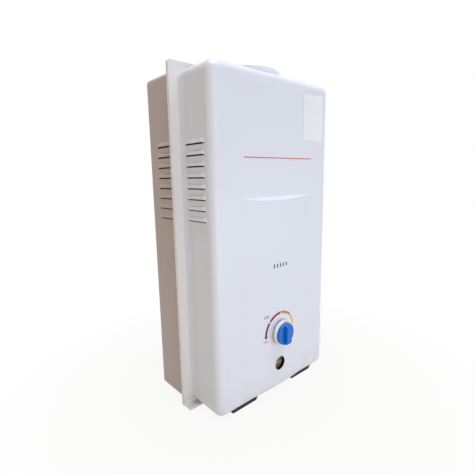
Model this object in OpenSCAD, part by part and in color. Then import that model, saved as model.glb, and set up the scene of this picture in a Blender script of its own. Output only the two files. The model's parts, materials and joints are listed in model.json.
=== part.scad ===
/* [Front cover] */
// Width of the front cover
cover_w = 306; // [290:1:330]
// Height of the front cover
cover_h = 608; // [593:1:660]
// Depth of the front cover, from its flat face to the frame
cover_d = 86; // [84:1:100]
// Corner radius of the cover seen from the front
cover_corner_r = 18; // [15.5:0.5:20]
// Radius of the edges round the cover's face
cover_edge_r = 14; // [10:0.5:15]
// Thickness of the casing's sheet steel
sheet = 1.2; // [0.8:0.1:1.6]
/* [Bow panel] */
// Width of the raised bow panel
bow_w = 190; // [160:1:220]
// Rise of the bow panel at its middle
bow_rise = 7; // [5:0.5:10]
// Height of the panel's straight crease above the cover's lower edge
bow_crease_h = 392; // [345:0.5:445]
// Radius of the panel's lower edge
bow_edge_r = 20; // [16:0.5:24]
// Number of flame view slots
view_slots = 5; // [3:1:9]
// Pitch of the view slots
view_slot_pitch = 8.4; // [6:0.1:10]
// Width of a view slot
view_slot_w = 3; // [2:0.1:4]
// Height of a view slot
view_slot_h = 8; // [6:0.5:14]
// Height of the view slots above the cover's lower edge
view_slot_z = 261; // [245:0.5:305]
// Height of the knob's axis above the cover's lower edge
knob_h = 125.5; // [121.5:0.5:135.5]
// Radius of the panel's hole behind the knob
knob_hole_r = 11; // [10:0.5:18]
// Height of the flow adjuster above the cover's lower edge
adjuster_h = 57.5; // [53.5:0.5:61.5]
// Radius of the access hole in front of the flow adjuster
access_hole_r = 14; // [11:0.5:18]
/* [Louvres] */
// Louvres in each row of the casing's sides
louvres = 8; // [4:1:10]
// Pitch of the louvres
louvre_pitch = 18.2; // [14:0.1:24]
// Height of the uppermost louvre's lip above the cover's lower edge
louvre_top_h = 484; // [445:0.5:525]
// Length of a louvre
louvre_l = 54; // [40:1:60]
// Distance of the cover's louvres behind its flat face
louvre_front = 17.7; // [14:0.1:24]
// Distance of the rear case's louvres behind the frame
louvre_rear = 10; // [6:0.5:16]
// Height of a louvre's hood
louvre_h = 7.5; // [5:0.5:10]
// Projection of a louvre's lip
louvre_rise = 3.2; // [2.5:0.1:4]
// Height of the open slot under a louvre's lip
louvre_slot = 2.2; // [1:0.1:3]
/* [Rear case] */
// How much wider the rear case is than the cover on each side
rear_step = 9; // [8:0.5:14]
// Depth of the rear case
rear_d = 94; // [90:1:110]
// How much lower the rear case sits than the cover
rear_drop = 1.5; // [1:0.25:2]
// Corner radius of the rear case seen from behind
rear_corner_r = 9; // [7:0.5:14]
// Radius of the edges round the rear case's back
rear_edge_r = 6; // [3:0.5:6.5]
// Width of the turned-in flange at the mouth of the rear case
rear_flange = 22; // [20:0.5:23]
// Radius of the wall fixing holes
wall_hole_r = 4; // [3:0.25:5]
// Spacing of the wall fixing holes across the back
wall_hole_x = 200; // [160:5:240]
// Spacing of the wall fixing holes up the back
wall_hole_z = 460; // [440:5:470]
/* [Mounting frame] */
// Overhang of the frame beyond the cover's sides
frame_over = 18; // [15:0.5:24]
// Rise of the frame above the cover's top
frame_rise = 11.5; // [8:0.5:18]
// Thickness of the frame's sheet
frame_t = 1.5; // [1:0.1:2]
// Depth of the frame's folded side and top edges
frame_fold = 5; // [3:0.5:8]
// Corner radius of the frame
frame_corner_r = 3; // [2:0.5:8]
// Reach of the frame's lower ledge towards the front
ledge_d = 17; // [16:0.5:24]
// Height of the ledge's turned-up front edge
ledge_hem = 5; // [4:0.25:5.5]
// Clear space under the frame's ledge
ledge_gap = 0.6; // [0.4:0.1:2]
/* [Feet] */
// Height of the front feet
foot_h = 7; // [6.5:0.5:12]
// Width of a front foot at its top
foot_w = 72; // [60:1:80]
// Depth of a front foot
foot_d = 44; // [30:1:50]
// Spacing of the front feet
foot_pitch = 168; // [150:1:180]
// Distance of the front feet behind the cover's flat face
foot_front = 8; // [6:0.5:14]
// Inward slope of a foot at each end
foot_slope = 6; // [3:0.5:8]
// Width of a rear foot at its top
rear_foot_w = 46; // [40:1:52]
// Depth of a rear foot
rear_foot_d = 40; // [30:1:46]
// Spacing of the rear feet
rear_foot_pitch = 240; // [230:1:250]
/* [Flue] */
// Outer radius of the flue collar
collar_r = 66; // [58:0.5:68]
// Wall of the flue collar
collar_wall = 1.2; // [0.8:0.1:2]
// Rise of the flue collar above the cover's top
collar_rise = 13; // [11:0.5:40]
// Depth of the collar's foot below the cover's top
collar_sink = 30.5; // [29.5:0.5:36.5]
// Width of the ring at the collar's foot
collar_ring = 8; // [5:0.5:8]
// Clearance round the flue collar
collar_gap = 1; // [0.5:0.1:2]
/* [Knob] */
// How far the knob's crown stands proud of the bow panel
knob_proud = 24; // [22:0.5:28]
// Radius of the white skirt
skirt_r = 25.5; // [24:0.5:29]
// Thickness of the skirt
skirt_t = 5; // [4:0.5:6]
// Clear space behind the skirt
skirt_gap = 6; // [5.5:0.1:8]
// Radius of the coloured cap
cap_r = 22; // [18:0.5:23]
// Height of the cap's round base
cap_base_h = 6.5; // [5:0.5:8]
// Width of the cap's grip bar
grip_w = 13; // [10:0.5:16]
// Travel of the knob when pushed
knob_travel = 5; // [3:0.5:5]
// Radius of the knob's spindle
spindle_r = 4; // [3:0.25:5]
/* [Valves] */
// Radius of the gas tap's barrel
tap_r = 18; // [17:0.5:20]
// Length of the gas tap's barrel
tap_l = 52; // [48:1:54]
// Thickness of the gas tap's front plate
tap_plate_t = 4; // [3:0.5:5]
// Radius of the gas tap's plug
plug_r = 11; // [9:0.5:12]
// Length of the gas tap's plug
plug_l = 36; // [34:1:40]
// Running clearance on a radius
fit = 0.05; // [0.03:0.01:0.1]
// Lift of the water valve's push rod
rod_lift = 4; // [3:0.5:5]
// Radius of the push rod
rod_r = 3; // [2.5:0.25:3.5]
// Radius of the water valve
water_r = 34; // [32:0.5:36]
// Height of the water valve's body
water_body_h = 24; // [22:0.5:26]
// Thickness of the diaphragm
diaphragm_t = 1.5; // [1:0.1:2]
// Radius of the flow adjuster's stem
adjuster_r = 6; // [5:0.25:7]
/* [Pipes] */
// Inner radius of the half inch pipe sockets
thread_r = 9.32; // [8:0.01:10]
// Radius of the copper water pipes
pipe_r = 7.5; // [6:0.25:8]
// Wall of the pipes
pipe_t = 1; // [0.6:0.1:1.5]
// Spacing of the pipe sockets
stub_pitch = 60; // [50:1:64]
// Height of the pipe sockets' mouths above the ground
stub_clear = 3; // [2:0.5:4]
/* [Burner and heat exchanger] */
// Space between the combustion chamber and each side of the cover
chamber_side = 38; // [35:0.5:43]
// Depth of the combustion chamber
chamber_d = 122; // [118:1:126]
// Height of the combustion chamber with the fins
chamber_h = 238; // [220:1:250]
// Height of the burner tray's lower edge above the ground
tray_z = 200; // [196:1:210]
// Height of the burner tray
tray_h = 50; // [46:1:54]
// Number of burner bars
bars = 9; // [7:1:9]
// Pitch of the burner bars
bar_pitch = 22; // [20:0.5:23]
// Width of a burner bar
bar_w = 9; // [7:0.5:10]
// Sheet thickness of a burner bar
bar_t = 1; // [0.5:0.1:1.2]
// Number of exchanger fins
fins = 25; // [15:1:27]
// Pitch of the exchanger fins
fin_pitch = 8; // [6:0.1:8]
// Height of the exchanger fins
fin_h = 46; // [40:1:50]
// Pitch of the exchanger tubes
tube_pitch = 22; // [20:0.5:22.5]
// Radius of the exchanger tubes
tube_r = 8; // [6:0.25:8.5]
// Wall of the exchanger tubes
tube_t = 1; // [0.6:0.1:1.5]

/* [Hidden] */
$fn = 64;
// Overlap of cutting tools past the faces that they cut
over = 1;

// Planes across the depth, with the origin in the middle of the whole depth
depth = knob_proud + bow_rise + cover_d + frame_t + rear_d;
panel_y = knob_proud - depth / 2;
face_y = panel_y + bow_rise;
frame_y = face_y + cover_d;
rear_y = frame_y + frame_t;
back_y = rear_y + rear_d;
flue_y = frame_y + frame_t / 2;

// Levels above the ground
cover_z = foot_h;
cover_top = cover_z + cover_h;
rear_z = cover_z - rear_drop;
rear_top = cover_top - rear_drop;
frame_z = ledge_gap;
frame_top = cover_top + frame_rise;
knob_z = cover_z + knob_h;
adjuster_z = cover_z + adjuster_h;
louvre_z = cover_z + louvre_top_h;
collar_z = cover_top - collar_sink;

// Casing
rear_w = cover_w + 2 * rear_step;
rear_h = rear_top - rear_z;
frame_w = cover_w + 2 * frame_over;
chamber_w = cover_w - 2 * chamber_side;
window_w = rear_w - 2 * rear_flange;
window_z = rear_z + rear_flange;
window_top = rear_top - rear_flange;
bow_r = (bow_w * bow_w / 4 + bow_rise * bow_rise) / (2 * bow_rise);
bow_axis_y = panel_y + bow_r;
bow_half_angle = asin(bow_w / 2 / bow_r) + 2;
bow_depth = 40;
louvre_r = (louvre_h * louvre_h + louvre_rise * louvre_rise) / (2 * louvre_rise);
screw_r = 2;
screw_head_r = 3.6;
screw_head_t = 2;
screw_past = 2;
tab_d = 20;
tab_w = 24;
tab_x = 100;
frame_screw_inset = 5;
frame_screw_x = cover_w / 2 - sheet - frame_screw_inset;
frame_screw_mid = 305.5;
frame_screw_pitch = 180;
frame_screw_z = [for (i = [-1 : 1]) frame_screw_mid + i * frame_screw_pitch];

// Exchanger tubes: the valves stand in line with the first, the pipe sockets with the last
tubes = 5;
tube_reach = 3;
tube_end_x = chamber_w / 2 + tube_reach;
function tube_y(i) = flue_y + (i - (tubes - 1) / 2) * tube_pitch;
valve_y = tube_y(0);

// Knob
skirt_y = panel_y - skirt_gap;
cap_y = skirt_y - skirt_t;
spindle_sink = 8;
spindle_y = cap_y - spindle_sink;
key_flat = 0.6;
cap_edge_r = 3;
grip_inset = 1;
bush_r = 8;
seat_r = 9.5;
seat_t = 2.5;
tap_front = valve_y - tap_l / 2;
tap_back = valve_y + tap_l / 2;
tap_plate_y = tap_front - tap_plate_t;
spring_gap = 0.2;
spring_free = 12;
seat_y = tap_plate_y - spring_free - seat_t;
spring_wire_r = 0.6;
knob_spring_r = 7.5;

// Gas tap and water valve, one above the other
plug_sink = 6;
plug_front = tap_front + plug_sink;
plug_bore_end = plug_front + plug_l;
spindle_end = plug_front + plug_l / 2;
water_drop = 14;
water_z = adjuster_z - water_drop;
diaphragm_z = water_z + water_body_h;
water_cover_z = diaphragm_z + diaphragm_t;
water_wall = 6;
water_floor = 6;
water_roof = 5;
rod_plate_r = 24;
rod_plate_t = 2.5;
rod_room = 5.5;
water_cover_h = rod_plate_t + rod_lift + rod_room + water_roof;
tap_z = water_cover_z + water_cover_h;
tap_flange_r = 26;
tap_flange_t = 5;
tap_floor = 7;
disc_z = tap_z + tap_floor;
disc_r = 10;
disc_rim = 2;
disc_t = 3;
disc_room_r = 12;
disc_room_gap = 3;
disc_room_top = knob_z - plug_r - disc_room_gap;
boss_r = 12;
boss_l = 10;
outlet_rise = 8;
outlet_step = 2;
outlet_top = knob_z + tap_r + outlet_rise;
port_rise = 12;
port_step = 1;
port_z = water_z + port_rise;
valve_screw_ring = water_r - water_wall / 2;
valve_screws_n = 4;
valve_screw_gap = 1;
adjuster_gap = 4;
adjuster_boss_r = 9;
adjuster_head_r = 12;
adjuster_head_t = 3;
adjuster_boss_y = panel_y + sheet + adjuster_gap + adjuster_head_t;
adjuster_boss_l = valve_y - water_r - adjuster_boss_y;
adjuster_slot_w = 2;
adjuster_slot_turn = 35;

// Pipes and unions
stub_y = tube_y(tubes - 1);
plate_z = rear_z + sheet;
plate_lap = 7;
notch_room = 20;
notch_w = 2 * (stub_pitch + notch_room);
union_floor = plate_z + sheet;
union_r = 12.5;
union_flange_r = 16;
union_flange_t = 2;
union_rise = 18;
union_top = union_floor + union_rise;
thread_l = 14;
stub_bore_r = 7;
stub_gap = 0.5;
lock_nut_r = 18;
lock_nut_t = 6;
pipe_bend_r = 12;
bend_gap = 4;
bend_room = pipe_bend_r + bend_gap;
side_pipe_x = tube_end_x + bend_room;
low_pipe_z = port_z;
cold_turn_y = valve_y + water_r + boss_l + bend_room;

// Burner, chamber and exchanger
tray_top = tray_z + tray_h;
chamber_top = tray_top + chamber_h;
tray_front = flue_y - chamber_d / 2;
chamber_back = flue_y + chamber_d / 2;
chamber_t = 1;
bar_rise = 6;
bar_z = tray_z + bar_rise;
bar_h = 40;
pilot_drop = 6;
ceramic_drop = 14;
spark_drop = 2;
bar_end_gap = 4;
manifold_r = 6;
injector_l = 7;
injector_r = 3;
manifold_gap = 4;
manifold_y = tray_front - manifold_r - manifold_gap;
manifold_rise = 10;
manifold_z = bar_z + manifold_rise;
riser_r = 6;
tube_drop = 24;
tube_z = chamber_top - tube_drop;
fin_t = 0.6;
fin_side_gap = 1.5;
hood_lap = 2;
hood_top_w = 2 * (collar_r + collar_ring + hood_lap);
bracket_w = 120;
bracket_h = 30;
bracket_rise = 40;
bracket_drop = 60;
bracket_rows = [tray_top + bracket_rise, chamber_top - bracket_drop];
switch_rise = 150;
switch_z = tray_top + switch_rise;
switch_r = 8;
switch_t = 9;
switch_rim_r = 11;
switch_rim_t = 3;
clip_w = 6;
clip_t = 3;
clip_h = 10;
clip_rise = 4;
clip_z = bar_z + clip_rise;
pilot_r = 2.5;
probe_r = 2;
spark_r = 0.8;
igniter_w = 50;
igniter_d = 22;
igniter_h = 30;
lead_r = 5;
lead_l = 8;

function bar_x(i) = (i - (bars - 1) / 2) * bar_pitch;

// Stands a part that is drawn along +Z along +Y instead
module along_y(at) {
    translate(at) rotate([-90, 0, 0]) children();
}

// Stands a part that is drawn along +Z along +X instead
module along_x(at) {
    translate(at) rotate([0, 90, 0]) children();
}

// Gives an outline drawn across X and Z a thickness along Y
module plate_y(y, thickness) {
    translate([0, y + thickness, 0]) rotate([90, 0, 0]) linear_extrude(thickness) children();
}

module mirrored_x() {
    children();
    mirror([1, 0, 0]) children();
}

// Rectangle with its far lower corner rounded
module corner_block(w, h, r) {
    difference() {
        square([w, h]);
        difference() {
            translate([w - r, -over]) square([r + over, r + over]);
            translate([w - r, r]) circle(r);
        }
    }
}

module round_rect(w, z0, z1, r) {
    translate([-w / 2 + r, z0]) square([w - 2 * r, z1 - z0]);
    translate([-w / 2, z0 + r]) square([w, z1 - z0 - 2 * r]);
    for (x = [-w / 2 + r, w / 2 - r], z = [z0 + r, z1 - r]) translate([x, z]) circle(r);
}

// Runs a section round a rounded rectangle that stands on z = 0, revolved at the corners
module round_rim(w, h, corner_r) {
    run_w = w - 2 * corner_r;
    run_h = h - 2 * corner_r;
    mirrored_x() translate([run_w / 2, 0, corner_r]) {
        linear_extrude(run_h) children();
        along_y([0, 0, 0]) rotate_extrude(angle = 90) children();
        along_y([0, 0, run_h]) rotate(-90) rotate_extrude(angle = 90) children();
    }
    for (end = [0, 1]) {
        translate([0, 0, h / 2]) mirror([0, 0, end]) translate([run_w / 2, 0, run_h / 2])
            rotate([0, -90, 0]) linear_extrude(run_w) children();
    }
}

// Solid outline of a drawn pan: rounded corners, and rounded edges at y = 0
module pan_block(w, h, d, corner_r, edge_r) {
    translate([corner_r - w / 2, 0, corner_r]) cube([w - 2 * corner_r, d, h - 2 * corner_r]);
    round_rim(w, h, corner_r) corner_block(corner_r, d, edge_r);
}

// Hollow of a drawn pan, a sheet's thickness inside its outline
module pan_hollow(w, h, d, corner_r, edge_r) {
    translate([0, sheet, sheet])
        pan_block(w - 2 * sheet, h - 2 * sheet, d, corner_r - sheet, edge_r - sheet);
}

// Long round-ended body that shapes a louvre, lying along +Y from its first centre
module louvre_body(r) {
    straight = louvre_l - 2 * louvre_h;
    along_y([0, 0, 0]) rotate_extrude() intersection() {
        translate([0, -r]) square([r, straight + 2 * r]);
        union() {
            square([r, straight]);
            circle(r);
            translate([0, straight]) circle(r);
        }
    }
}

// Louvre's body in every row, above a given depth below the lip, its lip standing out from the wall
module louvre_rows(wall_x, front_y, r, inner_x, below) {
    for (i = [0 : louvres - 1]) {
        translate([0, front_y, louvre_z - i * louvre_pitch]) intersection() {
            translate([wall_x + louvre_rise - louvre_r, louvre_h, 0]) louvre_body(r);
            translate([inner_x, -over, -below])
                cube([louvre_r + louvre_rise, louvre_l + 2 * over, louvre_r + below]);
        }
    }
}

module louvre_hoods(wall_x, front_y) {
    louvre_rows(wall_x, front_y, louvre_r, wall_x - sheet / 2, 0);
}

module louvre_cuts(wall_x, front_y) {
    louvre_rows(wall_x, front_y, louvre_r - sheet, wall_x - sheet - over, louvre_slot);
}

// Upright round cut that clears the flue collar
module collar_cut() {
    translate([0, flue_y, collar_z - over])
        cylinder(r = collar_r + collar_gap, h = 2 * collar_sink + frame_rise);
}

// Sector of the bow's upright drum, with its lower edge rounded
module bow_drum(r, z, edge_r) {
    translate([0, bow_axis_y, z]) rotate(270 - bow_half_angle)
        rotate_extrude(angle = 2 * bow_half_angle, $fn = 360) translate([r - bow_depth, 0])
            corner_block(bow_depth, bow_crease_h, edge_r);
}

// Half space below the sloping facet at the top of the bow panel
module below_crease(inset) {
    translate([0, face_y, cover_z + bow_crease_h]) rotate([45, 0, 0])
        translate([-cover_w, -cover_w, -2 * cover_h - inset]) cube([2 * cover_w, 2 * cover_w, 2 * cover_h]);
}

// Bow panel's solid, a given distance inside its outline
module bow_block(inset) {
    intersection() {
        bow_drum(bow_r - inset, cover_z + inset, bow_edge_r - inset);
        below_crease(inset);
    }
}

module view_slot_cut() {
    straight = view_slot_h - view_slot_w;
    plate_y(panel_y - over, bow_rise) union() {
        translate([-view_slot_w / 2, -straight / 2]) square([view_slot_w, straight]);
        for (z = [-straight / 2, straight / 2]) translate([0, z]) circle(view_slot_w / 2);
    }
}

module front_cover() {
    color("white") difference() {
        union() {
            translate([0, face_y, cover_z])
                pan_block(cover_w, cover_h, cover_d, cover_corner_r, cover_edge_r);
            bow_block(0);
            mirrored_x() louvre_hoods(cover_w / 2, face_y + louvre_front);
        }
        translate([0, face_y, cover_z]) pan_hollow(cover_w, cover_h, cover_d, cover_corner_r, cover_edge_r);
        bow_block(sheet);
        mirrored_x() louvre_cuts(cover_w / 2, face_y + louvre_front);
        collar_cut();
        along_y([0, panel_y - over, knob_z]) cylinder(r = knob_hole_r, h = bow_rise);
        along_y([0, panel_y - over, adjuster_z]) cylinder(r = access_hole_r, h = bow_rise);
        for (i = [0 : view_slots - 1]) {
            translate([(i - (view_slots - 1) / 2) * view_slot_pitch, 0, cover_z + view_slot_z])
                view_slot_cut();
        }
        mirrored_x() translate([tab_x, frame_y - tab_d / 2, cover_z - over])
            cylinder(r = screw_r + fit, h = sheet + 2 * over);
    }
}

module rear_case() {
    color([0.72, 0.65, 0.61]) difference() {
        union() {
            translate([0, back_y, rear_z]) mirror([0, 1, 0])
                pan_block(rear_w, rear_h, rear_d, rear_corner_r, rear_edge_r);
            mirrored_x() louvre_hoods(rear_w / 2, rear_y + louvre_rear);
        }
        translate([0, back_y, rear_z]) mirror([0, 1, 0])
            pan_hollow(rear_w, rear_h, rear_d - 2 * sheet, rear_corner_r, rear_edge_r);
        translate([-window_w / 2, rear_y - over, window_z])
            cube([window_w, rear_d / 2, window_top - window_z]);
        mirrored_x() louvre_cuts(rear_w / 2, rear_y + louvre_rear);
        collar_cut();
        for (x = [-wall_hole_x / 2, wall_hole_x / 2], z = [-wall_hole_z / 2, wall_hole_z / 2]) {
            along_y([x, back_y - sheet - over, (rear_z + rear_top) / 2 + z])
                cylinder(r = wall_hole_r, h = sheet + 2 * over);
        }
        translate([-notch_w / 2, rear_y - over, rear_z - over])
            cube([notch_w, stub_y + notch_room - rear_y + over, sheet + 2 * over]);
        translate([-notch_w / 2, rear_y - over, rear_z - over])
            cube([notch_w, sheet + 2 * over, window_z - rear_z + 2 * over]);
        frame_screw_places() cylinder(r = screw_r + fit, h = frame_t + 2 * sheet + 2 * over);
    }
}

// Plate that closes the notch in the rear case's floor and carries the pipe unions
module pipe_plate() {
    front = rear_y + 2 * sheet;
    color([0.72, 0.65, 0.61]) difference() {
        translate([-notch_w / 2 - plate_lap, front, plate_z])
            cube([notch_w + 2 * plate_lap, stub_y + notch_room + plate_lap - front, sheet]);
        for (x = [-stub_pitch, 0, stub_pitch]) {
            translate([x, stub_y, plate_z - over]) cylinder(r = union_r + stub_gap, h = sheet + 2 * over);
        }
    }
}

// Axes of the screws that hold the rear case to the frame, from in front of the frame
module frame_screw_places() {
    for (x = [-frame_screw_x, frame_screw_x], z = frame_screw_z) {
        along_y([x, frame_y - over, cover_z + z]) children();
    }
}

module mounting_frame() {
    color("white") difference() {
        union() {
            plate_y(frame_y, frame_t) difference() {
                round_rect(frame_w, frame_z, frame_top, frame_corner_r);
                translate([-window_w / 2, window_z]) square([window_w, window_top - window_z]);
            }
            mirrored_x() translate([frame_w / 2 - frame_t, frame_y, frame_z + frame_corner_r])
                cube([frame_t, frame_t + frame_fold, frame_top - frame_z - 2 * frame_corner_r]);
            translate([frame_corner_r - frame_w / 2, frame_y, frame_top - frame_t])
                cube([frame_w - 2 * frame_corner_r, frame_t + frame_fold, frame_t]);
            ledge();
            mirrored_x() cover_tab();
        }
        collar_cut();
        translate([-collar_r - collar_gap, frame_y - over, window_top - over])
            cube([2 * (collar_r + collar_gap), frame_fold + 2 * frame_t + over, frame_top]);
        frame_screw_places() cylinder(r = screw_r + fit, h = frame_t + 2 * over);
        mirrored_x() translate([tab_x, frame_y - tab_d / 2, cover_z])
            cylinder(r = screw_r + fit, h = 2 * sheet + frame_t + over);
    }
}

// Ledge along the frame's foot, bent forward and turned up at its front edge
module ledge() {
    width = frame_w - 2 * frame_corner_r;
    translate([-width / 2, frame_y - ledge_d, frame_z]) cube([width, ledge_d + frame_t, frame_t]);
    translate([-width / 2, frame_y - ledge_d, frame_z]) cube([width, frame_t, ledge_hem]);
}

// Tab that lies on the cover's floor and takes a cover screw
module cover_tab() {
    translate([tab_x - tab_w / 2, frame_y - tab_d, cover_z + sheet]) cube([tab_w, tab_d + frame_t, frame_t]);
}

// Wedge-sided rubber foot, its top middle at the origin
module foot(w, d, h) {
    plate_y(-d / 2, d) polygon([
        [-w / 2, 0], [-w / 2 + foot_slope, -h], [w / 2 - foot_slope, -h], [w / 2, 0]
    ]);
}

module front_feet() {
    color([0.05, 0.05, 0.06]) mirrored_x()
        translate([foot_pitch / 2, face_y + foot_front + foot_d / 2, cover_z]) foot(foot_w, foot_d, foot_h);
}

module rear_feet() {
    color([0.05, 0.05, 0.06]) mirrored_x()
        translate([rear_foot_pitch / 2, stub_y, rear_z]) foot(rear_foot_w, rear_foot_d, rear_z);
}

// Pan-head screw along +Z, the underside of its head at the origin
module screw(length) {
    cylinder(r = screw_r, h = length);
    translate([0, 0, -screw_head_t]) cylinder(r = screw_head_r, h = screw_head_t);
}

module cover_screws() {
    color("silver") mirrored_x()
        translate([tab_x, frame_y - tab_d / 2, cover_z]) screw(sheet + frame_t + screw_past);
}

module frame_screws() {
    color("silver") for (x = [-frame_screw_x, frame_screw_x], z = frame_screw_z) {
        along_y([x, frame_y, cover_z + z]) screw(frame_t + sheet + screw_past);
    }
}

module flue_collar() {
    color("white") translate([0, flue_y, collar_z]) difference() {
        union() {
            cylinder(r = collar_r, h = collar_sink + collar_rise);
            cylinder(r = collar_r + collar_ring, h = sheet);
        }
        translate([0, 0, -over])
            cylinder(r = collar_r - collar_wall, h = collar_sink + collar_rise + 2 * over);
    }
}

// Block that tapers from the chamber's outline to the square under the flue collar
module hood_block(z0, z1, inset) {
    low = [chamber_w / 2 - inset, chamber_d / 2 - inset];
    high = hood_top_w / 2 - inset;
    corners = [[-1, -1], [1, -1], [1, 1], [-1, 1]];
    polyhedron(
        concat(
            [for (c = corners) [c.x * low.x, c.y * low.y, z0]],
            [for (c = corners) [c.x * high, c.y * high, z1]]
        ),
        [[0, 1, 2, 3], [4, 5, 1, 0], [7, 6, 5, 4], [5, 6, 2, 1], [6, 7, 3, 2], [7, 4, 0, 3]]
    );
}

module draught_hood() {
    color("gainsboro") translate([0, flue_y, 0]) difference() {
        hood_block(chamber_top, collar_z, 0);
        hood_block(chamber_top - over / 10, collar_z - sheet, sheet);
        translate([0, 0, collar_z - sheet - over]) cylinder(r = collar_r, h = sheet + 2 * over);
    }
}

module combustion_chamber() {
    color("peru") difference() {
        translate([-chamber_w / 2, tray_front, tray_top]) cube([chamber_w, chamber_d, chamber_h]);
        translate([chamber_t - chamber_w / 2, tray_front + chamber_t, tray_top - over])
            cube([chamber_w - 2 * chamber_t, chamber_d - 2 * chamber_t, chamber_h + 2 * over]);
        for (i = [0 : tubes - 1]) {
            along_x([-chamber_w / 2 - over, tube_y(i), tube_z])
                cylinder(r = tube_r + fit, h = chamber_w + 2 * over);
        }
    }
}

// Hat-section strip between the chamber and the back of the case
module chamber_brackets() {
    reach = back_y - sheet - chamber_back;
    foot_l = bracket_h / 3;
    color("lightgray") for (z = bracket_rows) {
        translate([-bracket_w / 2, chamber_back, z]) {
            cube([bracket_w, frame_t, bracket_h]);
            for (edge = [0, bracket_h - frame_t]) translate([0, 0, edge]) cube([bracket_w, reach, frame_t]);
            translate([0, reach - frame_t, -foot_l]) cube([bracket_w, frame_t, foot_l + frame_t]);
            translate([0, reach - frame_t, bracket_h - frame_t]) cube([bracket_w, frame_t, foot_l + frame_t]);
        }
    }
}

module exchanger_fins() {
    fin_d = chamber_d - 2 * (chamber_t + fin_side_gap);
    color("peru") for (k = [0 : fins - 1]) {
        along_x([(k - (fins - 1) / 2) * fin_pitch - fin_t / 2, 0, 0]) linear_extrude(fin_t) difference() {
            translate([-tube_z - fin_h / 2, flue_y - fin_d / 2]) square([fin_h, fin_d]);
            for (i = [0 : tubes - 1]) translate([-tube_z, tube_y(i)]) circle(tube_r + fit);
        }
    }
}

// Straight tubes joined by return bends at alternate ends
module exchanger_tubes() {
    color("peru") difference() {
        tube_run(tube_r, 0);
        tube_run(tube_r - tube_t, over);
    }
}

module tube_run(r, more) {
    for (i = [0 : tubes - 1]) {
        first_more = i == 0 ? more : 0;
        last_more = i == tubes - 1 ? more : 0;
        along_x([-tube_end_x - last_more, tube_y(i), tube_z])
            cylinder(r = r, h = 2 * tube_end_x + first_more + last_more);
    }
    for (i = [0 : tubes - 2]) {
        side = i % 2 == 0 ? -1 : 1;
        translate([side * tube_end_x, (tube_y(i) + tube_y(i + 1)) / 2, tube_z]) rotate(-90 * side)
            rotate_extrude(angle = 180) translate([tube_pitch / 2, 0]) circle(r);
    }
}

module overheat_switch() {
    color("dimgray") along_x([-chamber_w / 2 - switch_t, flue_y, switch_z]) {
        cylinder(r = switch_r, h = switch_t);
        translate([0, 0, switch_t - switch_rim_t]) cylinder(r = switch_rim_r, h = switch_rim_t);
    }
}

module burner_tray() {
    rail_d = 8;
    color("lightgray") difference() {
        union() {
            difference() {
                translate([-chamber_w / 2, tray_front, tray_z]) cube([chamber_w, chamber_d, tray_h]);
                translate([chamber_t - chamber_w / 2, tray_front + chamber_t, tray_z - over])
                    cube([chamber_w - 2 * chamber_t, chamber_d - 2 * chamber_t, tray_h + 2 * over]);
            }
            for (y = [-chamber_d / 3, chamber_d / 3]) {
                translate([-chamber_w / 2, flue_y + y - rail_d / 2, tray_z])
                    cube([chamber_w, rail_d, bar_z - tray_z]);
            }
        }
        for (i = [0 : bars - 1]) {
            along_y([bar_x(i), tray_front - over, manifold_z]) cylinder(r = injector_r + fit, h = 3 * over);
        }
    }
}

// Burner bar: a slim blade with a wider head cut by flame ports, along Y
module burner_bars() {
    bar_l = chamber_d - 2 * (chamber_t + bar_end_gap);
    head_h = 8;
    head_lap = 2;
    head_w = bar_w + 2 * head_lap;
    ports = 10;
    port_w = 2;
    color("silver") for (i = [0 : bars - 1]) {
        translate([bar_x(i), flue_y - bar_l / 2, bar_z]) difference() {
            union() {
                translate([-bar_w / 2, 0, 0]) cube([bar_w, bar_l, bar_h - head_h]);
                translate([-head_w / 2, 0, bar_h - head_h]) cube([head_w, bar_l, head_h]);
            }
            for (k = [1 : ports]) {
                translate([-head_w, k * bar_l / (ports + 1) - port_w / 2, bar_h - head_h / 2])
                    cube([2 * head_w, port_w, head_h]);
            }
            translate([bar_t - bar_w / 2, bar_t, bar_t])
                cube([bar_w - 2 * bar_t, bar_l - 2 * bar_t, bar_h - 2 * bar_t]);
            along_y([0, -over, manifold_z - bar_z]) cylinder(r = injector_r, h = 2 * bar_t);
        }
    }
}

module gas_manifold() {
    length = bars * bar_pitch;
    color("goldenrod") difference() {
        along_x([-length / 2, manifold_y, manifold_z]) cylinder(r = manifold_r, h = length);
        for (i = [0 : bars - 1]) {
            along_y([bar_x(i), manifold_y, manifold_z])
                cylinder(r = injector_r / 2 + fit, h = 2 * manifold_r);
        }
    }
}

module injectors() {
    color("gold") for (i = [0 : bars - 1]) {
        along_y([bar_x(i), manifold_y + manifold_r, manifold_z]) cylinder(r = injector_r, h = injector_l);
        along_y([bar_x(i), manifold_y + manifold_r / 2, manifold_z])
            cylinder(r = injector_r / 2, h = manifold_r);
    }
}

// Middle of a gap between burner bars, counted from the middle of the tray
function gap_x(i) = bar_x(floor(bars / 2) + i) - bar_pitch / 2;

// Clip on the inside of the tray's front wall that holds a rod standing in a gap between the bars
module rod_clip(gap) {
    translate([gap_x(gap) - clip_w / 2, tray_front + chamber_t, clip_z]) cube([clip_w, clip_t, clip_h]);
}

module rod_in_gap(gap, r, h) {
    translate([gap_x(gap), tray_front + chamber_t + clip_t, bar_z]) cylinder(r = r, h = h);
}

module pilot_burner() {
    color("gold") {
        rod_clip(1);
        rod_in_gap(1, pilot_r, bar_h - pilot_drop);
    }
}

module thermocouple() {
    color("peru") {
        rod_clip(2);
        rod_in_gap(2, probe_r, bar_h);
    }
}

module spark_electrode() {
    color("white") {
        rod_clip(0);
        rod_in_gap(0, pilot_r, bar_h - ceramic_drop);
        rod_in_gap(0, spark_r, bar_h - spark_drop);
    }
}

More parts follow.
